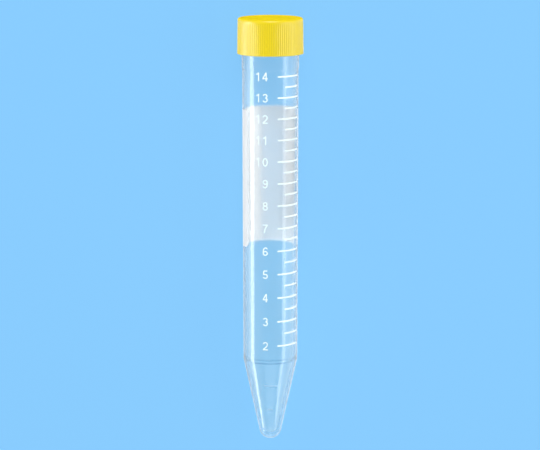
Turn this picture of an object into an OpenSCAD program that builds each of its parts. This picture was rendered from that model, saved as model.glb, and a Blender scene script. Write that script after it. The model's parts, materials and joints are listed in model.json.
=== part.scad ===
// Conical tube of about 15 ml with a ribbed screw cap, lying on its side.
// The tube is drawn upright, with its tip at the origin and its mouth at the top, and laid down at the end.
// Lying, its axis runs along +Y to the cap, the front with the scale faces +Z, and the floor is at Z = 0.

/* [Tube] */
// Length of the tube from its tip to its mouth
tube_length = 120; // [95:1:150]
// Outer radius of the straight band just below the cap
band_r = 8.05; // [6.6:0.05:10]
// Length of that band
band_length = 3.8; // [2:0.1:8]
// How far the band stands out from the wall below it
band_step = 0.13; // [0.05:0.01:0.3]
// Height over which the band runs out into the wall below it
step_run = 0.4; // [0.2:0.1:2]
// How much smaller the wall's radius gets from the band down to the cone
wall_draft = 0.22; // [0:0.02:0.5]
// Thickness of the wall at the mouth
mouth_wall = 0.6; // [0.4:0.05:1]
// Thickness of the wall just above the cone
foot_wall = 1.05; // [0.7:0.05:1.6]
// Depth of the straight round stretch of the bore, from the mouth down
straight_bore = 25; // [8:1:45]

/* [Cone] */
// Height of the cone, from the tip to the shoulder
cone_height = 23.6; // [18:0.2:30]
// Radius of the rounded tip
tip_r = 3.15; // [2.6:0.05:4]
// Thickness of the wall beside the rounded bottom of the bore
tip_side_wall = 1.05; // [0.8:0.05:1.3]
// Thickness of the wall under the bottom of the bore
tip_floor = 1.6; // [1:0.1:2.4]
// Radius that blends the cone into the wall above it
shoulder_blend = 3; // [1:0.25:5]
// How far the bore's own shoulder lies above the outer one
bore_rise = 0.8; // [0:0.1:2]

/* [Moulded marks on the cone] */
// Height of each raised line above the tip
mark_heights = [9.6, 16.8];
// Width of each raised line, measured round the front
mark_widths = [1.5, 3.5];
// Radius of a line's round back
mark_r = 0.25; // [0.15:0.05:0.4]
// How far a line stands out from the cone
mark_stand = 0.1; // [0.05:0.01:0.14]

/* [Neck] */
// How far the neck inside the cap is set back from the band
neck_step = 0.19; // [0.17:0.01:0.3]
// Rounding of the mouth's outer edge
mouth_round = 0.15; // [0.05:0.05:0.25]

/* [Cap] */
// How far the cap's skirt reaches down from the mouth
skirt_reach = 8.6; // [6:0.1:14]
// Gap between the skirt's lower edge and the band
skirt_gap = 0.2; // [0.1:0.1:2]
// Thickness of the cap's top at its rim
top_thickness = 1.5; // [1.2:0.1:3]
// Room for the screw thread between the neck and the inside of the cap
thread_room = 0.54; // [0.4:0.01:1]
// Thickness of the skirt at its top, out to the crests of the ribs
cap_wall = 0.8; // [0.6:0.05:1.6]
// How much larger the skirt's radius gets from its top to its lower edge
skirt_flare = 0.145; // [0:0.005:0.3]
// Rounding of the cap's top edge
edge_round = 0.7; // [0.3:0.05:0.9]
// Width of the flat on top of the rim
rim_flat = 0.05; // [0.05:0.05:1]
// Depth of the dished top below the rim
recess_depth = 0.3; // [0.1:0.05:0.5]
// Width of the slope from the rim down to the dished top
recess_slope = 0.25; // [0.1:0.05:1]

/* [Ribs] */
// Number of grip ribs round the cap, a multiple of four
rib_count = 96; // [48:4:120]
// Depth of the grooves between the ribs, at the top of the skirt
rib_depth = 0.16; // [0.05:0.01:0.3]
// Share of the pitch that a groove takes at the skirt's lower edge
groove_share = 0.7; // [0.3:0.05:0.8]
// Height of the smooth band above the ribs
rib_fade = 1.0; // [0.8:0.1:3]

/* [Sealing ring] */
// How far the ring under the cap's top reaches into the mouth
ring_reach = 2.4; // [1.5:0.1:5]
// Thickness of the ring
ring_wall = 0.8; // [0.5:0.05:1.5]
// Clearance between the ring and the bore
ring_clearance = 0.15; // [0.1:0.01:0.3]
// Bevel that leads the ring into the mouth
ring_bevel = 0.3; // [0.1:0.05:0.5]

/* [Hidden] */
curve_fn = 96;
eps = 0.01;

// The tube's outer radii and heights
wall_top_r = band_r - band_step;
foot_r = wall_top_r - wall_draft;
neck_r = band_r - neck_step;
skirt_z = tube_length - skirt_reach;
band_top = skirt_z - skirt_gap;
band_bottom = band_top - band_length;

// The bore's radii and heights
bore_r = wall_top_r - mouth_wall;
bore_foot_r = foot_r - foot_wall;
bore_foot_z = cone_height + bore_rise;
bore_tip_r = tip_r - tip_side_wall;
bore_tip_z = tip_floor + bore_tip_r;

// The half angle of a cone that runs from a ball at height ball_z out to the point [edge_r, edge_z]
function cone_angle(ball_r, ball_z, edge_r, edge_z) =
    atan(edge_r / (edge_z - ball_z)) - asin(ball_r / norm([edge_r, edge_z - ball_z]));

// The point where that cone leaves the ball
function cone_start(ball_r, ball_z, angle) = [ball_r * cos(angle), ball_z - ball_r * sin(angle)];

outer_angle = cone_angle(tip_r, tip_r, foot_r, cone_height);
bore_angle = cone_angle(bore_tip_r, bore_tip_z, bore_foot_r, bore_foot_z);
outer_start = cone_start(tip_r, tip_r, outer_angle);
bore_start = cone_start(bore_tip_r, bore_tip_z, bore_angle);

// The shoulder's blend is a circle that touches the wall above it and the cone below it
wall_angle = atan((wall_top_r - foot_r) / (band_bottom - step_run - cone_height));
turn = (outer_angle - wall_angle) / 2;
blend_run = shoulder_blend * tan(turn);
blend_high = [foot_r + blend_run * sin(wall_angle), cone_height + blend_run * cos(wall_angle)];
blend_low = [foot_r - blend_run * sin(outer_angle), cone_height - blend_run * cos(outer_angle)];
blend_centre = blend_high + shoulder_blend * [-cos(wall_angle), sin(wall_angle)];

// The cap's radii and heights
cap_bore_r = neck_r + thread_room;
cap_r = cap_bore_r + cap_wall;
skirt_r = cap_r + skirt_flare;
cap_top = tube_length + top_thickness;
rim_r = cap_r - edge_round - rim_flat;
dish_z = cap_top - recess_depth;
rib_top = cap_top - rib_fade;
ring_r = bore_r - ring_clearance;
pitch_angle = 360 / rib_count;
groove_angle = pitch_angle * groove_share / 2;

// Lying, the tube touches the floor with the lowest rib at the skirt's edge and with its shoulder.
// The floor's line goes through the skirt's edge and touches the blend's circle.
reach = [skirt_z - blend_centre[1], skirt_r - blend_centre[0]];
rest_tilt = atan(reach[1] / reach[0]) - asin(shoulder_blend / norm(reach));
axis_z = skirt_r * cos(rest_tilt) - skirt_z * sin(rest_tilt);
far_y = (cap_r - edge_round) * sin(rest_tilt) + (cap_top - edge_round) * cos(rest_tilt) + edge_round;
near_y = tip_r * cos(rest_tilt) - tip_r;
mid_y = (far_y + near_y) / 2;

// Lays an upright piece down on the floor, with the middle of the whole length over the origin
module lay_down() {
    translate([0, -mid_y, axis_z])
        rotate([rest_tilt - 90, 0, 0])
            children();
}

// A solid of revolution about the tube's axis
module turned() {
    rotate_extrude($fn = curve_fn)
        children();
}

// Keeps the half of a profile that lies to the right of the axis
module right_half() {
    intersection() {
        children();
        translate([0, -tube_length])
            square([tube_length, 3 * tube_length]);
    }
}

// The outline of the tube's outside, from the axis outwards
module tube_outline() {
    right_half() {
        translate([0, tip_r])
            circle(r = tip_r, $fn = curve_fn);
        translate(blend_centre)
            rotate(wall_angle)
                circle(r = shoulder_blend, $fn = curve_fn);
        polygon([
            [0, tip_r],
            outer_start,
            blend_low,
            blend_high,
            [wall_top_r, band_bottom - step_run],
            [band_r, band_bottom],
            [band_r, band_top],
            [neck_r, band_top],
            [neck_r, tube_length - mouth_round],
            [neck_r - mouth_round, tube_length],
            [0, tube_length]
        ]);
    }
}

// The outline of the hollow inside the tube
module bore_outline() {
    right_half() {
        translate([0, bore_tip_z])
            circle(r = bore_tip_r, $fn = curve_fn);
        polygon([
            [0, bore_tip_z],
            bore_start,
            [bore_foot_r, bore_foot_z],
            [bore_r, tube_length - straight_bore],
            [bore_r, tube_length + eps],
            [0, tube_length + eps]
        ]);
    }
}

// One raised line across the front of the cone, with its middle in the cone's surface but for mark_stand
module cone_mark(height, width) {
    surface_r = outer_start[0] + (height - outer_start[1]) * tan(outer_angle);
    half = width / 2 / surface_r * 180 / PI;
    rotate([0, 0, -90 - half])
        rotate_extrude(angle = 2 * half, $fn = curve_fn)
            translate([surface_r - mark_r + mark_stand, height])
                circle(r = mark_r, $fn = 24);
}

// The tube is one moulding: wall, cone, band and neck
module tube() {
    color([0.80, 0.90, 0.97, 0.45])
        lay_down()
            difference() {
                union() {
                    turned()
                        tube_outline();
                    for (i = [0 : len(mark_heights) - 1])
                        cone_mark(mark_heights[i], mark_widths[i]);
                }
                turned()
                    bore_outline();
            }
}

// The outline of the cap, hollow from below, with the sealing ring under its top
module cap_outline() {
    translate([cap_r - edge_round, cap_top - edge_round])
        circle(r = edge_round, $fn = curve_fn);
    polygon([
        [0, tube_length],
        [ring_r - ring_wall, tube_length],
        [ring_r - ring_wall, tube_length - ring_reach],
        [ring_r - ring_bevel, tube_length - ring_reach],
        [ring_r, tube_length - ring_reach + ring_bevel],
        [ring_r, tube_length],
        [cap_bore_r, tube_length],
        [cap_bore_r, skirt_z],
        [skirt_r, skirt_z],
        [cap_r, cap_top - edge_round],
        [cap_r - edge_round, cap_top],
        [rim_r, cap_top],
        [rim_r - recess_slope, dish_z],
        [0, dish_z]
    ]);
}

// The grooves between the ribs, as V-shaped cutters that run straight up the skirt. They are half a pitch
// off the tube's own sides, so the middle of a rib is lowest.
module grooves() {
    floor_r = cap_r - rib_depth;
    cutter_r = skirt_r + rib_depth;
    edge_half = skirt_r * sin(groove_angle);
    cutter_half = edge_half * (cutter_r - floor_r) / (skirt_r * cos(groove_angle) - floor_r);
    translate([0, 0, skirt_z - eps])
        linear_extrude(rib_top - skirt_z + eps)
            for (i = [0 : rib_count - 1])
                rotate((i + 0.5) * pitch_angle)
                    polygon([
                        [floor_r, 0],
                        [cutter_r, cutter_half],
                        [cutter_r, -cutter_half]
                    ]);
}

// The cap is one moulding: ribbed skirt, dished top and sealing ring
module cap() {
    color([0.94, 0.84, 0.10])
        lay_down()
            difference() {
                turned()
                    cap_outline();
                grooves();
            }
}

tube();
cap();
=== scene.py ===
import json
import math

import bpy
import numpy as np
from mathutils import Matrix


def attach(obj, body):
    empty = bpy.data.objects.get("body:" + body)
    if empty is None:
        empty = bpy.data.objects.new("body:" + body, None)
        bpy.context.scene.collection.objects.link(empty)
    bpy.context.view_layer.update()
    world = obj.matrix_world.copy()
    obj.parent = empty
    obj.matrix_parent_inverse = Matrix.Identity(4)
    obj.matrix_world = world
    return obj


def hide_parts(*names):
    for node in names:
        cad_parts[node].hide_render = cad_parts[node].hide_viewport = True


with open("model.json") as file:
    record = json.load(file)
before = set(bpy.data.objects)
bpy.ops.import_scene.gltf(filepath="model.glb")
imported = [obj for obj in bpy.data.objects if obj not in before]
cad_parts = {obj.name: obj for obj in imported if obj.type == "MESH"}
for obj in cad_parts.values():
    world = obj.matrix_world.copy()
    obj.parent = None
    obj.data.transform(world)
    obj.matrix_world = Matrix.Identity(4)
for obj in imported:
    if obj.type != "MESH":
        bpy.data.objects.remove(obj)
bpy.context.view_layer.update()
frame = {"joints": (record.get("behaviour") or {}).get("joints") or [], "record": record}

# ---------------------------------------------------------------------------------------------------------
# Clear tube: one injection moulding in clear polypropylene, 120 mm long, with a wall that is thin at the
# mouth and thicker at the foot, a conical foot with a rounded tip, and a screw thread round its neck. It lies
# on its shoulder and on the cap's edge.
# ---------------------------------------------------------------------------------------------------------
# Sizes are in millimetres. Heights are above the tip, along the tube's own axis. Turns are in radians about
# that axis, from the front of the scale to the right as the scale is read.
MM = 0.001
joint = frame["joints"][0]
mounts = {mount["name"]: mount for mount in frame["record"]["mounts"]}
band = mounts["rack_band"]

tube_length = 120.0
band_r, band_length = band["dims"]["r_mm"], band["dims"]["length_mm"]
band_middle, step_run = 109.3, 0.4
band_step, foot_step, neck_step = 0.13, 0.35, 0.19
wall_top_r, foot_r, neck_r = band_r - band_step, band_r - foot_step, band_r - neck_step
cone_height, shoulder_blend, shoulder_top = 23.6, 3.0, 25.2
tip_r, tip_floor, tip_wall = 3.15, 1.6, 1.05
mouth_wall, foot_wall, bore_rise, straight_bore = 0.6, 1.05, 0.8, 25.0
mouth_round, lip_round = 0.15, 0.12
bore_r, bore_tip_r = wall_top_r - mouth_wall, tip_r - tip_wall
bore_foot_r, bore_foot_z = foot_r - foot_wall, cone_height + bore_rise

# The mesh: columns round the tube, the angle that a rounded tip leaves open for its pole, the widest and the
# closest rows on the cone, and the angle from which an edge is sharp
tube_columns = 288
pole_gap = 0.05
wide_rows, close_rows = 1.5, 0.05
sharp_edge = math.radians(40)

# The raised lines on the cone, the close rows below and above them, and the painted highlight and painted
# shade that stand in for the light and dark that they show
mark_heights, mark_widths, mark_r, mark_stand = (9.6, 16.8), (1.5, 3.5), 0.25, 0.1
below_mark, above_mark = 0.8, 0.4
mark_glow, mark_shade, mark_drop = 0.36, 0.35, 0.4

# The two dark lines of painted shade at the shoulder, standing in for the light that it bends away. They show
# as far round the front as the cosine of the turn says
fold_heights, fold_strengths, fold_width = (23.6, 24.55), (1.0, 0.6), 0.3
fold_end, fold_fade = 0.6, 0.3

# The tint fades out over this height of the wall, partly for the thinner wall and partly as painted light
# against the shade near the cap, and a strip at the left has less of it too, as painted light on the ink seen
# through it
tint_run = 80
strip_from, strip_over, strip_strength = 50, 8, 0.9
strip_turn, strip_fade, strip_reach = -0.95, 0.4, 2.5
bore_frost = 0.3

# The thread round the neck, and the gap between it and the band
thread_pitch, thread_width, thread_gap = 3.2, 1.5, 0.35
neck_thread = {"start": 113.3, "turns": 1.65, "crest": 0.24}

# The tube's own directions and the place of its tip, from the cap's joint and the rack's mount
along = np.array(joint["axis"])
across = np.array([1.0, 0.0, 0.0])
front = np.cross(across, along)
tip = np.array(band["pos_m"]) - along * band_middle * MM


def placed(radius, turn, height):
    """Points in the shared frame, in metres: the tip, plus the height along the axis, plus the radius in the
    direction that the turn gives, which is the front at 0 and the right of the scale at a quarter turn."""
    grids = np.broadcast_arrays(radius, turn, height)
    radius, turn, height = (np.asarray(grid, float)[..., None] for grid in grids)
    return tip + MM * (height * along + radius * np.sin(turn) * across + radius * np.cos(turn) * front)


def cone_angle(ball_r, ball_z, edge_r, edge_z):
    """Half angle of the cone that touches a ball on the axis and passes through an edge above it: the slope
    of the line from the edge to the ball's centre, less half the angle that the ball fills, seen from the
    edge."""
    rise = edge_z - ball_z
    return math.atan(edge_r / rise) - math.asin(ball_r / math.hypot(edge_r, rise))


def arc(centre_r, centre_z, radius, start, end, steps):
    """Outline points [radius, height] on a circle, from the start to the end angle, which count from the
    outward direction upwards."""
    angle = np.linspace(start, end, steps)
    return np.stack([centre_r + radius * np.cos(angle), centre_z + radius * np.sin(angle)], axis=1)


def rounded(corners, steps=5):
    """Outline through corners given as [radius, height, cut]. Each inner corner is cut back by its own
    length on both sides, and a parabola that touches both sides takes its place."""
    points, cut = np.array(corners, float)[:, :2], np.array(corners, float)[1:-1, 2, None]
    corner = points[1:-1]
    to_last, to_next = points[:-2] - corner, points[2:] - corner
    begin = corner + cut * to_last / np.linalg.norm(to_last, axis=1, keepdims=True)
    end = corner + cut * to_next / np.linalg.norm(to_next, axis=1, keepdims=True)
    share = np.linspace(0.0, 1.0, steps)[None, :, None]
    begin, corner, end = begin[:, None], corner[:, None], end[:, None]
    curves = (1 - share) ** 2 * begin + 2 * share * (1 - share) * corner + share**2 * end
    return np.concatenate([points[:1], curves.reshape(-1, 2), points[-1:]])


def filled(outline, spacing, guard=0.06):
    """The same outline with points added on its long legs, so that no leg is longer than the spacing. A
    long leg also gets a point at the guard's distance from each end, so that the shading of a rounding
    stays off the straight beside it."""
    outline = outline[np.concatenate([[True], np.linalg.norm(np.diff(outline, axis=0), axis=1) > 1e-6])]
    legs = np.linalg.norm(np.diff(outline, axis=0), axis=1)
    points = []
    for begin, end, leg in zip(outline[:-1], outline[1:], legs):
        shares = np.linspace(0, 1, math.ceil(leg / spacing) + 1)
        if leg > 6 * guard:
            shares = np.unique(np.concatenate([shares, [guard / leg, 1 - guard / leg]]))
        points.append(begin + shares[:-1, None] * (end - begin))
    return np.concatenate(points + [outline[-1:]])


def smooth(share):
    """Smooth step: 0 below 0, 1 above 1, and three squares less two cubes in between."""
    share = np.clip(share, 0.0, 1.0)
    return share * share * (3 - 2 * share)


def thread(turn, height, start, turns, crest):
    """Stand of a right-handed screw thread over its core. The nearest turn of the helix gives the distance
    along the axis, a smooth bump of the thread's width gives the section, and it fades out at both ends."""
    travelled = (height - start) / thread_pitch
    nearest = np.round(travelled - turn / (2 * np.pi)) + turn / (2 * np.pi)
    away = np.abs(travelled - nearest) * thread_pitch / (thread_width / 2)
    return crest * smooth(1.7 * (1 - away)) * smooth(6 * np.minimum(nearest, turns - nearest) + 0.5)


def cone_marks(turn, height, radius):
    """Stand of the raised lines across the front of the cone: a circle's cap in section, faded at both
    ends."""
    stand = np.zeros(np.broadcast(turn, height).shape)
    for mark_height, width in zip(mark_heights, mark_widths):
        section = np.sqrt(np.clip(mark_r**2 - (height - mark_height) ** 2, 0, None)) - (mark_r - mark_stand)
        stand += np.clip(section, 0, None) * smooth((width / 2 - np.abs(turn) * radius) / 0.25 + 0.5)
    return stand


def fold_lines(turn, height):
    """Strength of the two lines of painted shade that stand in for the dark lines which the shoulder shows
    where the light is bent away, one for its outside and one for its inside: narrow bumps in height that
    fade out round the sides."""
    lines = np.zeros(np.broadcast(turn, height).shape)
    for middle, strength in zip(fold_heights, fold_strengths):
        lines += strength * smooth(1.3 * (1 - np.abs(height - middle) / fold_width))
    return lines * smooth((np.cos(turn) - fold_end) / fold_fade)


def mark_lines(turn, height, radius, drop=0.0):
    """Strength of the painted highlight that stands in for the light which the raised lines on the cone
    catch, a little wider than they stand out. A drop moves it down, which gives the painted shade of their
    lower sides."""
    lines = np.zeros(np.broadcast(turn, height).shape)
    for mark_height, width in zip(mark_heights, mark_widths):
        along_line = smooth((width / 2 - np.abs(turn) * radius) / 0.3 + 0.5)
        lines += smooth(1.6 * (1 - np.abs(height + drop - mark_height) / mark_glow)) * along_line
    return lines


def turned_mesh(name, points, poles, values=None):
    """Closed mesh over a grid of points: rows follow the outline, columns run once round the axis, and the
    first and the last row are each closed by a fan to a pole on the axis. Named values for each point may
    go with it."""
    rows, columns = points.shape[:2]
    here = np.arange(rows * columns).reshape(rows, columns)
    ahead = np.roll(here, -1, axis=1)
    quads = np.stack([here[:-1], ahead[:-1], ahead[1:], here[1:]], axis=-1).reshape(-1, 4)
    first, last = (np.full(columns, rows * columns + end) for end in (0, 1))
    fans = np.stack([[first, ahead[0], here[0]], [last, here[-1], ahead[-1]]])
    fans = fans.transpose(0, 2, 1).reshape(-1, 3)
    corners = np.concatenate([points.reshape(-1, 3), poles])
    mesh = bpy.data.meshes.new(name)
    mesh.from_pydata(corners.tolist(), [], quads.tolist() + fans.tolist())
    mesh.shade_smooth()
    mesh.set_sharp_from_angle(angle=sharp_edge)
    for key, value in (values or {}).items():
        value = np.concatenate([value.ravel(), value[[0, -1], 0]]).astype(np.float32)
        mesh.attributes.new(key, "FLOAT", "POINT").data.foreach_set("value", value)
    piece = bpy.data.objects.new(name, mesh)
    bpy.context.scene.collection.objects.link(piece)
    return piece


def wall_radius(height):
    """Outer radius of the straight wall: a line from the shoulder up to the foot of the band's step."""
    wall_top = band_middle - band_length / 2 - step_run
    return foot_r + (height - cone_height) * (wall_top_r - foot_r) / (wall_top - cone_height)


def bore_outline():
    """The inside of the tube from the mouth down to the bottom of the bore: a straight stretch, a slight
    taper, the cone and the ball at its foot."""
    angle = cone_angle(bore_tip_r, tip_floor + bore_tip_r, bore_foot_r, bore_foot_z)
    ball = arc(0.0, tip_floor + bore_tip_r, bore_tip_r, -angle, -math.pi / 2 + pole_gap, 16)
    legs = rounded([
        [bore_r, tube_length - lip_round, 0.0],
        [bore_r, tube_length - straight_bore, 1.5],
        [bore_foot_r, bore_foot_z, 0.5],
        [ball[0, 0], ball[0, 1], 0.0],
    ])
    return np.concatenate([filled(legs, 4.0)[:-1], ball])


def clear_tube():
    """The tube as one closed surface turned about its axis: up the outside, over the mouth, down the bore.
    The tone lightens or darkens the plastic as painted light and painted shade, and the frost takes its
    polish away."""
    angle = cone_angle(tip_r, tip_r, foot_r, cone_height)
    ball = arc(0.0, tip_r, tip_r, -math.pi / 2 + pole_gap, -angle, 18)
    band_top, band_bottom = band_middle + band_length / 2, band_middle - band_length / 2
    below_thread = band_top + thread_gap
    blend = shoulder_blend * math.tan(angle / 2)
    stops = [ball[-1]]
    for stop in np.ravel([[mark - below_mark, mark + above_mark] for mark in mark_heights]):
        stops.append([ball[-1, 0] + (stop - ball[-1, 1]) * math.tan(angle), stop])
    spacings = (wide_rows, close_rows) * len(mark_heights)
    legs = zip(stops, stops[1:], spacings)
    cone = [filled(np.array([begin, end]), spacing)[:-1] for begin, end, spacing in legs]
    shoulder = rounded([
        [*stops[-1], 0.0],
        [foot_r, cone_height, blend],
        [wall_radius(shoulder_top), shoulder_top, 0.0],
    ], 9)
    wall = rounded([
        [wall_radius(shoulder_top), shoulder_top, 0.0],
        [wall_top_r, band_bottom - step_run, 0.1],
        [band_r, band_bottom, 0.1],
        [band_r, band_top, 0.06],
        [neck_r, band_top, 0.06],
        [neck_r, below_thread, 0.0],
    ])
    neck = rounded([
        [neck_r, below_thread, 0.0],
        [neck_r, tube_length, mouth_round],
        [bore_r, tube_length, lip_round],
        [bore_r, tube_length - lip_round, 0.0],
    ])
    near_fold = filled(shoulder[1:], 0.06)[:-1]
    upper = [filled(wall, 4.0)[:-1], filled(neck, 0.12)[:-1]]
    outside = np.concatenate([ball[:-1], *cone, shoulder[:1], near_fold, *upper])
    inside = bore_outline()
    turn = np.linspace(-np.pi, np.pi, tube_columns, endpoint=False)[None]
    radius, height = outside[:, :1], outside[:, 1:]
    on_neck = (height > below_thread) & (radius > neck_r - 0.01)
    stand = cone_marks(turn, height, radius) + on_neck * thread(turn, height, **neck_thread)
    grid = np.concatenate([
        placed(radius + stand, turn, height),
        placed(inside[:, :1], turn, inside[:, 1:]),
    ])
    # Painted highlight on the raised lines, which also sets their frost
    marks = mark_lines(turn, height, radius)
    # Painted shade: the shoulder's dark lines and the dark lower sides of the raised lines darken the tint
    lines = marks - mark_shade * mark_lines(turn, height, radius, mark_drop) - fold_lines(turn, height)
    # Painted light: the tint is taken away up the wall and on a strip at the left
    along_strip = smooth((height - strip_from) / strip_over)
    strip = along_strip * smooth(strip_reach - np.abs(turn - strip_turn) / strip_fade)
    clear = np.maximum(smooth((height - cone_height) / tint_run), strip_strength * strip)
    bore_shape = (len(inside), tube_columns)
    values = {
        "tone": np.concatenate([np.clip(lines + clear, -1, 1), np.zeros(bore_shape)]),
        "frost": np.concatenate([marks, np.full(bore_shape, bore_frost)]),
    }
    return turned_mesh("clear_tube", grid, [placed(0, 0, 0), placed(0, 0, tip_floor)], values)


def add(material, kind, inputs=None, **settings):
    """Adds one node to a material. Inputs are given by name or number: a socket is linked, anything else
    is set."""
    node = material.node_tree.nodes.new(kind)
    for key, value in settings.items():
        setattr(node, key, value)
    for key, value in (inputs or {}).items():
        if isinstance(value, bpy.types.NodeSocket):
            material.node_tree.links.new(value, node.inputs[key])
        else:
            node.inputs[key].default_value = value
    return node


def new_material(name):
    """An empty node material."""
    material = bpy.data.materials.new(name)
    material.use_nodes = True
    material.node_tree.nodes.clear()
    return material


def object_place(material, scale=(1.0, 1.0, 1.0)):
    """Place on the piece, in metres, stretched by a scale along each axis."""
    place = add(material, "ShaderNodeTexCoord").outputs["Object"]
    return add(material, "ShaderNodeMapping", {"Vector": place, "Scale": scale}).outputs["Vector"]


def noise(material, scale, stretch=(1.0, 1.0, 1.0), detail=2.0):
    """Smooth noise from 0 to 1, with the scale in waves a metre before it is stretched."""
    inputs = {"Vector": object_place(material, stretch), "Scale": scale, "Detail": detail}
    return add(material, "ShaderNodeTexNoise", inputs).outputs["Fac"]


def ranged(material, value, low, high):
    """A value between 0 and 1, brought to between low and high."""
    inputs = {"Value": value, "To Min": low, "To Max": high}
    return add(material, "ShaderNodeMapRange", inputs).outputs["Result"]


def mixed(material, value, first, second):
    """The colour between two colours that a value from 0 to 1 picks. Either may come from another node."""
    first, second = (end if isinstance(end, bpy.types.NodeSocket) else (*end, 1.0) for end in (first, second))
    return add(material, "ShaderNodeMix", {0: value, 6: first, 7: second}, data_type="RGBA").outputs[2]


def clear_plastic():
    """Clear polypropylene: a faint tint that drifts along the wall, long shallow flow lines from the mould,
    and a polish that varies a little. A tone above 0 takes the tint away as painted light, and one below 0
    darkens it as painted shade. The raised lines and the bore are frosted. Lamps reach what is inside
    through it."""
    material = new_material("clear_plastic")
    drift = noise(material, 60.0, (1.0, 0.3, 1.0))
    flow = noise(material, 700.0, (1.0, 0.03, 1.0), 3.0)
    bump = add(material, "ShaderNodeBump", {"Height": flow, "Strength": 0.014, "Distance": 0.00005})
    tint = mixed(material, drift, (0.965, 0.948, 0.915), (0.985, 0.968, 0.935))
    tone = add(material, "ShaderNodeAttribute", attribute_name="tone").outputs["Fac"]
    # Painted shade: a tone below 0 darkens the tint
    dark = add(material, "ShaderNodeMath", {0: tone, 1: -1.0}, operation="MULTIPLY")
    painted_shade_tint = mixed(material, dark.outputs[0], tint, (0.4, 0.52, 0.64))
    frost = add(material, "ShaderNodeAttribute", attribute_name="frost").outputs["Fac"]
    rough = add(material, "ShaderNodeMath", {0: frost, 1: 0.6}, operation="MULTIPLY")
    polish = ranged(material, flow, 0.06, 0.11)
    roughness = add(material, "ShaderNodeMath", {0: polish, 1: rough.outputs[0]}, operation="MAXIMUM")
    # Painted light: a tone above 0 takes the tint away
    glass = add(material, "ShaderNodeBsdfPrincipled", {
        "Base Color": mixed(material, tone, painted_shade_tint, (1.0, 1.0, 1.0)),
        "Roughness": roughness.outputs[0],
        "Normal": bump.outputs["Normal"],
        "IOR": 1.49,
        "Transmission Weight": 1.0,
        "Sheen Weight": 0.25,
        "Sheen Roughness": 0.5,
        "Sheen Tint": (1.0, 0.95, 0.88, 1.0),
    })
    through = add(material, "ShaderNodeBsdfTransparent", {"Color": (0.99, 0.993, 0.995, 1.0)})
    shadow = add(material, "ShaderNodeLightPath").outputs["Is Shadow Ray"]
    surface = add(material, "ShaderNodeMixShader", {0: shadow, 1: glass.outputs[0], 2: through.outputs[0]})
    add(material, "ShaderNodeOutputMaterial", {"Surface": surface.outputs[0]})
    return material


tube = clear_tube()
tube.data.materials.append(clear_plastic())
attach(tube, "tube")
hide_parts("tube")

# ---------------------------------------------------------------------------------------------------------
# Printed scale: white ink, screen printed on the outside of the wall. It has a line for each half millilitre
# from 2 to 14, and a longer line and a number for each whole one. The heights follow from the volume of the
# bore, so the lines draw closer together towards the mouth.
# ---------------------------------------------------------------------------------------------------------
first_mark, last_mark = 2.0, 14.0
long_begin, short_begin, line_end = math.radians(15), math.radians(31), math.radians(73)
line_thickness = 0.44
digit_height, digit_width, digit_stroke = 2.4, 1.45, 0.29
ones_turn, tens_turn = math.radians(-10.7), math.radians(-25.6)

# The ink is a film that stands out from the wall and bites a little into it
ink_stand, ink_bite, stroke_lift = 0.02, 0.03, 0.002


def height_for(millilitres):
    """Height at which the bore holds a volume: the bore's outline is cut into slices, each the frustum of a
    cone, whose volumes are added up from the bottom, and the volume is looked up among the sums."""
    inside = bore_outline()[::-1]
    radius, height = inside[:, 0], inside[:, 1]
    slices = np.pi / 3 * np.diff(height) * (radius[1:] ** 2 + radius[1:] * radius[:-1] + radius[:-1] ** 2)
    volume = np.concatenate([[0.0], np.cumsum(slices)])
    return np.interp(np.asarray(millilitres) * 1000, volume, height)


def bow(centre_x, centre_y, radius_x, radius_y, start, end, steps=28):
    """Part of an ellipse as a stroke's middle line, from the start to the end angle in degrees,
    anticlockwise from the right."""
    angle = np.radians(np.linspace(start, end, steps))
    return np.stack([centre_x + radius_x * np.cos(angle), centre_y + radius_y * np.sin(angle)], axis=1)


def line(x_start, y_start, x_end, y_end, steps=8):
    """A straight stroke's middle line, in short steps so that it can follow the round wall."""
    return np.linspace([x_start, y_start], [x_end, y_end], steps)


# Each number as the middle lines of its strokes, in a box one high and one wide about the middle of its foot
inset = digit_stroke / digit_height / 2
side = 0.5 - inset * digit_height / digit_width
high, low = 1 - inset, inset
digits = {
    0: [bow(0, 0.5, side, 0.5 - inset, 90, 450, 56)],
    1: [line(0.1, 0, 0.1, 1), line(-0.42, 0.76, 0.1, 0.86), line(-0.1, 0.8, 0.1, 0.97)],
    2: [np.concatenate([bow(0, high - 0.25, side, 0.25, 172, -28), line(0.26, 0.45, -side, low + 0.03)]),
        line(-0.5, low, 0.5, low)],
    3: [bow(0, high - 0.21, side - 0.04, 0.21, 165, -90), bow(0, low + 0.235, side, 0.235, 90, -165)],
    4: [line(0.16, 0.98, -side - 0.02, 0.33), line(-0.52, 0.3, 0.5, 0.3), line(0.2, 0, 0.2, 1)],
    5: [line(-0.3, high, 0.42, high), line(-0.28, high, -0.36, 0.46),
        bow(0, low + 0.24, side, 0.24, 143, -160)],
    6: [bow(0, low + 0.225, side, 0.225, 90, 450, 40), bow(0.06, 0.5, side + 0.06, 0.5 - inset, 40, 195)],
    7: [line(-0.5, high, 0.5, high), bow(1.25, -0.1, 1.42, 1.22, 126, 176)],
    8: [bow(0, high - 0.2, side - 0.05, 0.2, 90, 450, 40), bow(0, low + 0.225, side, 0.225, 90, 450, 40)],
    9: [bow(0, high - 0.225, side, 0.225, 90, 450, 40), bow(-0.06, 0.5, side + 0.06, 0.5 - inset, 220, 375)],
}


def stroke_places(path, width):
    """Grid of places along a stroke: its middle line, and the same moved by half the width to each side, at
    right angles to the way that it runs."""
    ahead = np.gradient(path, axis=0)
    ahead /= np.linalg.norm(ahead, axis=1, keepdims=True)
    left = np.stack([-ahead[:, 1], ahead[:, 0]], axis=1) * width / 2
    return np.stack([path - left, path, path + left], axis=1)


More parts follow.
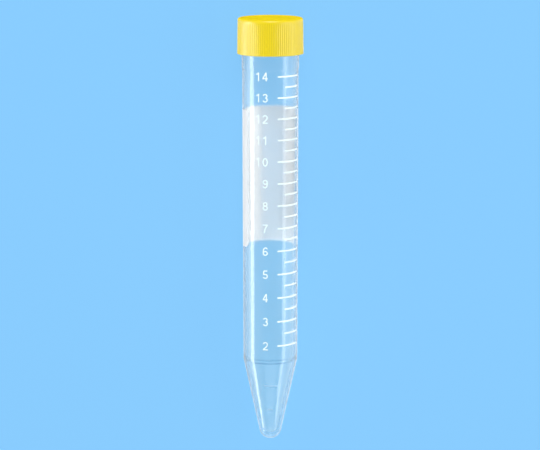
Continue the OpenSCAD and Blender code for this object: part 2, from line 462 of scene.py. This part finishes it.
def ink_film(places, stand, bite):
    """Points and faces of a closed film of ink over a grid of places [turn, height] on the wall: the grid
    lifted off the wall by the stand, the same grid sunk by the bite, and a rim that joins them."""
    turn, height = places[..., 0], places[..., 1]
    rows, columns = turn.shape
    wall = wall_radius(height)
    outer, inner = (placed(wall + lift, turn, height).reshape(-1, 3) for lift in (stand, -bite))
    index = np.arange(rows * columns).reshape(rows, columns)
    top = np.stack([index[:-1, :-1], index[1:, :-1], index[1:, 1:], index[:-1, 1:]], axis=-1).reshape(-1, 4)
    rim = np.concatenate([index[:-1, 0], index[-1, :-1], index[:0:-1, -1], index[0, :0:-1]])
    after = np.roll(rim, -1)
    count = rows * columns
    edge = np.stack([after, rim, rim + count, after + count], axis=1)
    return np.concatenate([outer, inner]), np.concatenate([top, top[:, ::-1] + count, edge])


def film_mesh(name, films):
    """One mesh of several closed films."""
    offsets = np.cumsum([0] + [len(points) for points, _ in films])
    corners = np.concatenate([points for points, _ in films])
    faces = np.concatenate([quads + offset for (_, quads), offset in zip(films, offsets)])
    mesh = bpy.data.meshes.new(name)
    mesh.from_pydata(corners.tolist(), [], faces.tolist())
    mesh.shade_smooth()
    mesh.set_sharp_from_angle(angle=sharp_edge)
    piece = bpy.data.objects.new(name, mesh)
    bpy.context.scene.collection.objects.link(piece)
    return piece


def number_films(number, height):
    """The films of a number beside its line. Each stroke stands out a little more than the one before, so
    crossing strokes share no face."""
    films = []
    turns = [ones_turn] if number < 10 else [tens_turn, ones_turn]
    for digit, middle in zip([int(figure) for figure in str(number)], turns):
        for order, path in enumerate(digits[digit]):
            path = (path - [0, 0.5]) * [digit_width, digit_height]
            places = stroke_places(path, digit_stroke)
            turn = middle + places[..., 0] / wall_radius(height)
            on_wall = np.stack([turn, height + places[..., 1]], axis=-1)
            films.append(ink_film(on_wall, ink_stand + stroke_lift * order, ink_bite))
    return films


def line_film(height, begin):
    """The film of one line of the scale, from its beginning to the common end."""
    turn = np.linspace(begin, line_end, 40)
    level = height + np.linspace(-0.5, 0.5, 3) * line_thickness
    return ink_film(np.stack(np.meshgrid(turn, level, indexing="ij"), axis=-1), ink_stand, ink_bite)


def scale_print():
    """All lines and numbers of the scale as one piece."""
    films = []
    for count, height in enumerate(height_for(np.arange(first_mark, last_mark + 0.25, 0.5))):
        whole = count % 2 == 0
        films.append(line_film(height, long_begin if whole else short_begin))
        if whole:
            films += number_films(int(first_mark) + count // 2, height)
    return film_mesh("scale_print", films)


def white_ink():
    """White ink: nearly white, a little uneven where the screen left less of it, and matt."""
    material = new_material("white_ink")
    uneven = noise(material, 2500.0)
    bump = add(material, "ShaderNodeBump", {"Height": uneven, "Strength": 0.2, "Distance": 0.00002})
    ink = add(material, "ShaderNodeBsdfPrincipled", {
        "Base Color": mixed(material, uneven, (0.84, 0.95, 0.965), (0.87, 0.98, 0.99)),
        "Roughness": ranged(material, uneven, 0.45, 0.6),
        "Normal": bump.outputs["Normal"],
    })
    add(material, "ShaderNodeOutputMaterial", {"Surface": ink.outputs[0]})
    return material


scale = scale_print()
scale.data.materials.append(white_ink())
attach(scale, "tube")

# ---------------------------------------------------------------------------------------------------------
# Writing field: thin white ink, printed on the back half of the wall and round the left side onto the front,
# where it thins out. It takes a pencil or a marker. The colour behind it comes through, but less so at the
# left, at the right, towards the cap and along the edges, where the ink is painted denser as painted light:
# for light that falls at the sides, against the shade towards the cap, and as a painted highlight along the
# edges.
# ---------------------------------------------------------------------------------------------------------
field_low, field_high = 56.7, 95.8
field_start, field_end, thin_edge = math.radians(87), math.radians(314), math.radians(14)
field_corner, wide_corner = 1.6, 3.2

# Its film beside the scale's, and further rows close to its lower and upper edges
field_film = 0.7
rim_rows = [0.004, 0.008, 0.992, 0.996]

# Where the ink is painted denser and brighter, as painted light: from where, over what run, and how much
left_from, left_over = math.radians(193), math.radians(20)
right_from, right_over, right_strength = math.radians(152), math.radians(18), 0.9
right_low, right_run = 56, 20
top_from, top_run, top_strength = 85, 10, 0.3
rim_from, rim_run, rim_strength = 0.491, 0.005, 0.6

# How much the thinnest ink covers, what the painted light adds, and how the part on the front is lit through
thin_cover, more_cover = 0.6, 0.39
front_from, front_over, front_share = 4.5, 0.4, 0.85


def corner_cut(to_edge, corner):
    """How far a rounded corner cuts a column short. The column is the corner's radius less its distance from
    the edge away from the corner's middle. The circle's height there is the square root of the radius
    squared less that squared, and the cut is the radius less this height."""
    return corner - np.sqrt(np.clip(corner**2 - np.clip(corner - to_edge, 0, None) ** 2, 0, None))


def writing_field():
    """A patch of the wall with rounded corners, of which the lower left one is the widest. Its columns lie
    closer together towards both upright edges, as a cosine does at its ends."""
    share = (1 - np.cos(np.linspace(0, np.pi, 121))) / 2
    turn = field_start + (field_end - field_start) * share
    to_edge = np.minimum(turn - field_start, field_end - turn) * wall_radius((field_low + field_high) / 2)
    lowest = field_low + corner_cut(to_edge, np.where(share < 0.5, field_corner, wide_corner))
    highest = field_high - corner_cut(to_edge, field_corner)
    up = np.unique(np.concatenate([np.linspace(0, 1, 41), rim_rows]))[None]
    height = lowest[:, None] * (1 - up) + highest[:, None] * up
    places = np.stack([np.broadcast_to(turn[:, None], height.shape), height], axis=-1)
    piece = film_mesh("writing_field", [ink_film(places, ink_stand * field_film, ink_bite * field_film)])
    turn = places[..., 0]
    at_left = smooth((turn - left_from) / left_over)
    at_right = right_strength * smooth((right_from - turn) / right_over)
    at_right = at_right * smooth((height - right_low) / right_run)
    at_top = top_strength * smooth((height - top_from) / top_run)
    at_rim = rim_strength * smooth((np.abs(up - 0.5) - rim_from) / rim_run) * np.ones_like(turn)
    # Painted light: denser, brighter ink at the sides and towards the cap, and a painted highlight at the
    # edges
    painted_light = np.max([at_left, at_right, at_top, at_rim], axis=0)
    cover = (thin_cover + more_cover * painted_light) * smooth((field_end - turn) / thin_edge)
    painted_light = painted_light * (1 - front_share * smooth((turn - front_from) / front_over))
    for key, value in {"painted_light": painted_light, "cover": cover}.items():
        value = np.tile(value.ravel(), 2).astype(np.float32)
        piece.data.attributes.new(key, "FLOAT", "POINT").data.foreach_set("value", value)
    return piece


def field_ink():
    """The same ink, laid thinner. The cover says how much it hides of what is behind it, and where there is
    little painted light, light from behind glows through it."""
    material = new_material("field_ink")
    uneven = noise(material, 1800.0)
    streaks = noise(material, 300.0, (1.0, 0.15, 1.0))
    ink = add(material, "ShaderNodeBsdfPrincipled", {
        "Base Color": mixed(material, streaks, (0.965, 0.975, 0.98), (0.985, 0.99, 0.995)),
        "Roughness": ranged(material, uneven, 0.5, 0.65),
        "Specular IOR Level": 0.0,
    })
    lit_through = add(material, "ShaderNodeBsdfTranslucent", {"Color": (0.95, 0.96, 0.97, 1.0)})
    # Painted light: where it is high, the ink glows less and shows more of its own white
    painted_light = add(material, "ShaderNodeAttribute", attribute_name="painted_light").outputs["Fac"]
    glow = ranged(material, painted_light, 0.48, 0.0)
    body = add(material, "ShaderNodeMixShader", {0: glow, 1: ink.outputs[0], 2: lit_through.outputs[0]})
    clear = add(material, "ShaderNodeBsdfTransparent")
    cover = add(material, "ShaderNodeAttribute", attribute_name="cover").outputs["Fac"]
    surface = add(material, "ShaderNodeMixShader", {0: cover, 1: clear.outputs[0], 2: body.outputs[0]})
    add(material, "ShaderNodeOutputMaterial", {"Surface": surface.outputs[0]})
    return material


field = writing_field()
field.data.materials.append(field_ink())
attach(field, "tube")

# ---------------------------------------------------------------------------------------------------------
# Screw cap: one moulding of yellow polyethylene. Fine upright ribs grip the finger, the top is dished inside
# a narrow rim, and under it a ring seals the mouth. Its thread runs in the space left by the neck's.
# ---------------------------------------------------------------------------------------------------------
cap_edge_z, cap_top_z, dish_z = 111.4, 121.5, 121.2
cap_bore_r, cap_r, skirt_r = 8.4, 9.2, 9.345
edge_round, rim_flat, recess_slope = 0.7, 0.05, 0.25
rib_count, rib_depth, rib_top, rib_fade = 96, 0.058, 120.5, 0.35
rib_section = np.arange(-3, 5) / 8
ring_r, ring_wall, ring_reach, ring_bevel = 7.17, 0.8, 2.4, 0.3
cap_thread = {"start": 112.3, "turns": 1.9, "crest": -0.25}

# Where the fans to the poles begin, how far from a corner the inside, the bore and the skirt meet, and how
# far inside the top radius the ribs may reach
hub_r, corner_gap, edge_flat, rib_inset = 0.3, 0.2, 0.1, 0.12

# The top is frosted and its yellow painted darker as painted shade, which fades out over its rounded edge
frost_reach, frost_fade = 0.12, 0.36


def groove(share):
    """Depth over a pitch of the ribs, as a cosine wave, deepest in the middle of a groove."""
    return rib_depth * (0.5 + 0.5 * np.cos(2 * np.pi * share))


def ribbed_cap():
    """The cap as one closed surface turned about the axis: from the middle of its ceiling over the sealing
    ring, down the inside with its thread, round the lower edge, up the ribs, over the rim, into the dish."""
    inside = rounded([
        [hub_r, tube_length, 0.0],
        [ring_r - ring_wall, tube_length, 0.2],
        [ring_r - ring_wall, tube_length - ring_reach, 0.15],
        [ring_r - ring_bevel, tube_length - ring_reach, 0.1],
        [ring_r, tube_length - ring_reach + ring_bevel, 0.1],
        [ring_r, tube_length, 0.1],
        [cap_bore_r, tube_length, 0.1],
        [cap_bore_r, tube_length - corner_gap, 0.0],
    ], 3)
    bore = rounded([
        [cap_bore_r, tube_length - corner_gap, 0.0],
        [cap_bore_r, cap_edge_z, 0.15],
        [skirt_r - edge_flat, cap_edge_z, 0.0],
    ], 3)
    skirt = rounded([
        [skirt_r - edge_flat, cap_edge_z, 0.0],
        [skirt_r, cap_edge_z, 0.07],
        [cap_r, cap_top_z - edge_round, 0.0],
    ], 4)
    rim = arc(cap_r - edge_round, cap_top_z - edge_round, edge_round, 0.0, math.pi / 2, 9)
    dish = rounded([
        [*rim[-1], 0.0],
        [cap_r - edge_round - rim_flat, cap_top_z, 0.03],
        [cap_r - edge_round - rim_flat - recess_slope, dish_z, 0.15],
        [hub_r, dish_z, 0.0],
    ], 4)
    under = [filled(inside, 3.0)[:-1], filled(bore, 0.24)[:-1]]
    parts = [*under, filled(skirt, 0.7)[:-1], rim[:-1], filled(dish, 3.0)]
    ends = np.cumsum([len(part) for part in parts])
    outline = np.concatenate(parts)
    radius, height = outline[:, :1], outline[:, 1:]
    row = np.arange(len(outline))[:, None]
    share = np.tile(rib_section, rib_count)[None]
    rib = np.repeat(np.arange(rib_count), len(rib_section))[None]
    turn = 2 * np.pi / rib_count * (rib + 0.5 + share)
    on_bore = (row >= ends[0]) & (row < ends[1]) & (radius < cap_bore_r + 0.01)
    on_skirt = (row >= ends[1]) & (radius > cap_r - rib_inset)
    ribs = smooth((rib_top - height) / rib_fade + 0.5) * on_skirt
    shape = radius + on_bore * thread(turn, height, **cap_thread)
    shape = shape - ribs * groove(share)
    frost = (row >= ends[2]) * smooth((cap_r + frost_reach - radius) / frost_fade) * np.ones_like(turn)
    poles = [placed(0, 0, tube_length), placed(0, 0, dish_z)]
    # The groove value sets the painted shade in the grooves
    values = {"frost": frost, "groove": ribs * groove(share) / rib_depth}
    return turned_mesh("ribbed_cap", placed(shape, turn, height), poles, values)


def yellow_plastic():
    """Yellow polyethylene with a satin skin: the colour drifts a little and is painted darker in the grooves
    as painted shade, a fine grain from the mould breaks up the gloss, and short upright scuffs from fingers
    run over the ribs. The top is frosted, has no gloss, and its yellow is painted darker as painted shade."""
    material = new_material("yellow_plastic")
    drift = noise(material, 120.0)
    grain = noise(material, 6000.0, detail=4.0)
    scuffs = noise(material, 900.0, (1.0, 0.12, 1.0), 3.0)
    bump = add(material, "ShaderNodeBump", {"Height": grain, "Strength": 0.15, "Distance": 0.00003})
    # Painted shade: the yellow is darker in the grooves
    painted_groove_shade = add(material, "ShaderNodeAttribute", attribute_name="groove").outputs["Fac"]
    skin = mixed(material, drift, (0.8, 0.632, 0.002), (0.83, 0.655, 0.003))
    plastic = add(material, "ShaderNodeBsdfPrincipled", {
        "Base Color": mixed(material, painted_groove_shade, skin, (0.68, 0.535, 0.001)),
        "Roughness": ranged(material, scuffs, 0.26, 0.36),
        "Normal": bump.outputs["Normal"],
        "IOR": 1.65,
        "Specular IOR Level": 0.7,
    })
    # Painted shade: the frosted top is a darker copy of the yellow
    frosted = add(material, "ShaderNodeBsdfPrincipled", {
        "Base Color": mixed(material, drift, (0.69, 0.536, 0.011), (0.72, 0.56, 0.013)),
        "Roughness": ranged(material, scuffs, 0.8, 0.9),
        "Specular IOR Level": 0.0,
    })
    frost = add(material, "ShaderNodeAttribute", attribute_name="frost").outputs["Fac"]
    surface = add(material, "ShaderNodeMixShader", {0: frost, 1: plastic.outputs[0], 2: frosted.outputs[0]})
    add(material, "ShaderNodeOutputMaterial", {"Surface": surface.outputs[0]})
    return material


cap = ribbed_cap()
cap.data.materials.append(yellow_plastic())
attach(cap, "cap")
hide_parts("cap")

# ---------------------------------------------------------------------------------------------------------
# Studio: a pale blue table, even light from all round, a long soft box on each side of the tube, whose
# reflections run down the wall as two bright stripes, a fill light that doesn't show in the gloss, and a soft
# box over each end. The camera looks down at the front of the scale, from beyond the cap.
# ---------------------------------------------------------------------------------------------------------
# Distances are in metres here. Nine tenths of what is seen of the table is its own light.
sky_blue, pale = (0.2502, 0.6038, 0.9911), (0.8, 0.82, 0.84)
table_half, own_light, own_share = 4.0, 0.993, 0.9
horizon_light, zenith_light = 0.5, 0.05
box_lean = math.radians(11)
camera_height, camera_along, camera_side = 0.6656, 0.18036, -0.0001
camera_pitch, camera_lens, camera_sensor = math.radians(10.05), 158.3, 36.0


def seen_directly(tree):
    """1 for rays that look at a surface straight or through clear plastic, and 0 for the rest."""
    path = tree.nodes.new("ShaderNodeLightPath")
    either = tree.nodes.new("ShaderNodeMath")
    either.operation = "MAXIMUM"
    tree.links.new(path.outputs["Is Camera Ray"], either.inputs[0])
    tree.links.new(path.outputs["Is Transmission Ray"], either.inputs[1])
    return either.outputs[0]


def table():
    """A square table top at the height of the floor. It is pale in the light that it throws back and in
    reflections. Looked at, it is sky blue: most of that is its own, so it stays even, and the rest takes
    the light and the object's shadow."""
    mesh = bpy.data.meshes.new("table")
    corners = [(x * table_half, y * table_half, 0) for x, y in ((-1, -1), (1, -1), (1, 1), (-1, 1))]
    mesh.from_pydata(corners, [], [(0, 1, 2, 3)])
    material = new_material("table_top")
    seen = seen_directly(material.node_tree)
    lit = add(material, "ShaderNodeBsdfDiffuse", {"Color": mixed(material, seen, pale, sky_blue)})
    own = add(material, "ShaderNodeEmission", {"Color": (*sky_blue, 1.0), "Strength": own_light})
    share = add(material, "ShaderNodeMath", {0: seen, 1: own_share}, operation="MULTIPLY")
    surface = add(material, "ShaderNodeMixShader", {
        0: share.outputs[0],
        1: lit.outputs[0],
        2: own.outputs[0],
    })
    add(material, "ShaderNodeOutputMaterial", {"Surface": surface.outputs[0]})
    mesh.materials.append(material)
    piece = bpy.data.objects.new("table", mesh)
    bpy.context.scene.collection.objects.link(piece)


def surroundings():
    """Pale light from all round, strongest from the horizon and weak from above. Looked at, it has the
    table's colour."""
    world = bpy.data.worlds.new("surroundings")
    world.use_nodes = True
    bpy.context.scene.world = world
    tree = world.node_tree
    tree.nodes.clear()
    light, seen = (tree.nodes.new("ShaderNodeBackground") for _ in range(2))
    direction = tree.nodes.new("ShaderNodeTexCoord")
    parts = tree.nodes.new("ShaderNodeSeparateXYZ")
    fall = tree.nodes.new("ShaderNodeMapRange")
    fall.inputs["To Min"].default_value = horizon_light
    fall.inputs["To Max"].default_value = zenith_light
    tree.links.new(direction.outputs["Generated"], parts.inputs[0])
    tree.links.new(parts.outputs["Z"], fall.inputs["Value"])
    tree.links.new(fall.outputs["Result"], light.inputs["Strength"])
    light.inputs["Color"].default_value = (1.0, 1.0, 1.0, 1.0)
    seen.inputs["Color"].default_value = (*sky_blue, 1.0)
    seen.inputs["Strength"].default_value = 1.0
    mix = tree.nodes.new("ShaderNodeMixShader")
    output = tree.nodes.new("ShaderNodeOutputWorld")
    tree.links.new(seen_directly(tree), mix.inputs[0])
    tree.links.new(light.outputs[0], mix.inputs[1])
    tree.links.new(seen.outputs[0], mix.inputs[2])
    tree.links.new(mix.outputs[0], output.inputs["Surface"])


def standing(right, up, back, place):
    """The matrix that stands a lamp or a camera at a place, its own X, Y and Z along three directions."""
    return Matrix(np.vstack([np.column_stack([right, up, back, place]), [0, 0, 0, 1]]).tolist())


def soft_box(name, out, lengthwise, place, width, length, power, in_gloss=True):
    """An area lamp at a place, facing against the outward direction, with its length along another
    direction. It lights the tube, may show in its gloss, and isn't seen itself."""
    lamp = bpy.data.lights.new(name, "AREA")
    lamp.shape = "RECTANGLE"
    lamp.size, lamp.size_y, lamp.energy = width, length, power
    box = bpy.data.objects.new(name, lamp)
    bpy.context.scene.collection.objects.link(box)
    box.matrix_world = standing(np.cross(lengthwise, out), lengthwise, out, place)
    box.visible_camera = False
    box.visible_transmission = False
    box.visible_glossy = in_gloss


def side_box(name, turn, width, length, shift, power, in_gloss=True):
    """A long soft box a metre from the tip, turned about the tube's axis and shifted along its own length.
    It leans a little against the axis, which sets its reflection off between the wall and the cone."""
    out = math.sin(turn) * across + math.cos(turn) * front
    onward = math.cos(turn) * across - math.sin(turn) * front
    lengthwise = math.cos(box_lean) * along + math.sin(box_lean) * onward
    soft_box(name, out, lengthwise, tip + out + lengthwise * shift, width, length, power, in_gloss)


def end_box(name, lean, size, power):
    """A square soft box a metre from the tube's middle, leaning from the vertical towards one end."""
    out = math.cos(lean) * front + math.sin(lean) * along
    middle = tip + along * (tube_length / 2 * MM)
    soft_box(name, out, across, middle + out, size, size, power)


def camera():
    """A long lens high over the front of the scale, beyond the cap, pitched back towards the tip."""
    lens = bpy.data.cameras.new("camera")
    lens.lens, lens.sensor_width = camera_lens, camera_sensor
    lens.clip_start, lens.clip_end = 0.01, 20.0
    view = bpy.data.objects.new("camera", lens)
    bpy.context.scene.collection.objects.link(view)
    place = tip + along * camera_along + front * camera_height + across * camera_side
    back = math.cos(camera_pitch) * front + math.sin(camera_pitch) * along
    up = np.cross(back, across)
    view.matrix_world = standing(across, up, back, place)
    bpy.context.scene.camera = view


table()
surroundings()
side_box("left_soft_box", math.radians(-80.5), width=0.36, length=1.1, shift=-0.3, power=7.8)
side_box("right_soft_box", math.radians(61), width=0.28, length=1.1, shift=-0.3, power=2.6)
side_box("right_fill_box", math.radians(48), width=0.6, length=0.8, shift=0.1, power=2.2, in_gloss=False)
end_box("cap_soft_box", math.radians(45), size=0.6, power=8.4)
end_box("tip_soft_box", math.radians(-38), size=0.8, power=1.8)
camera()
bpy.context.scene.view_settings.view_transform = "Standard"
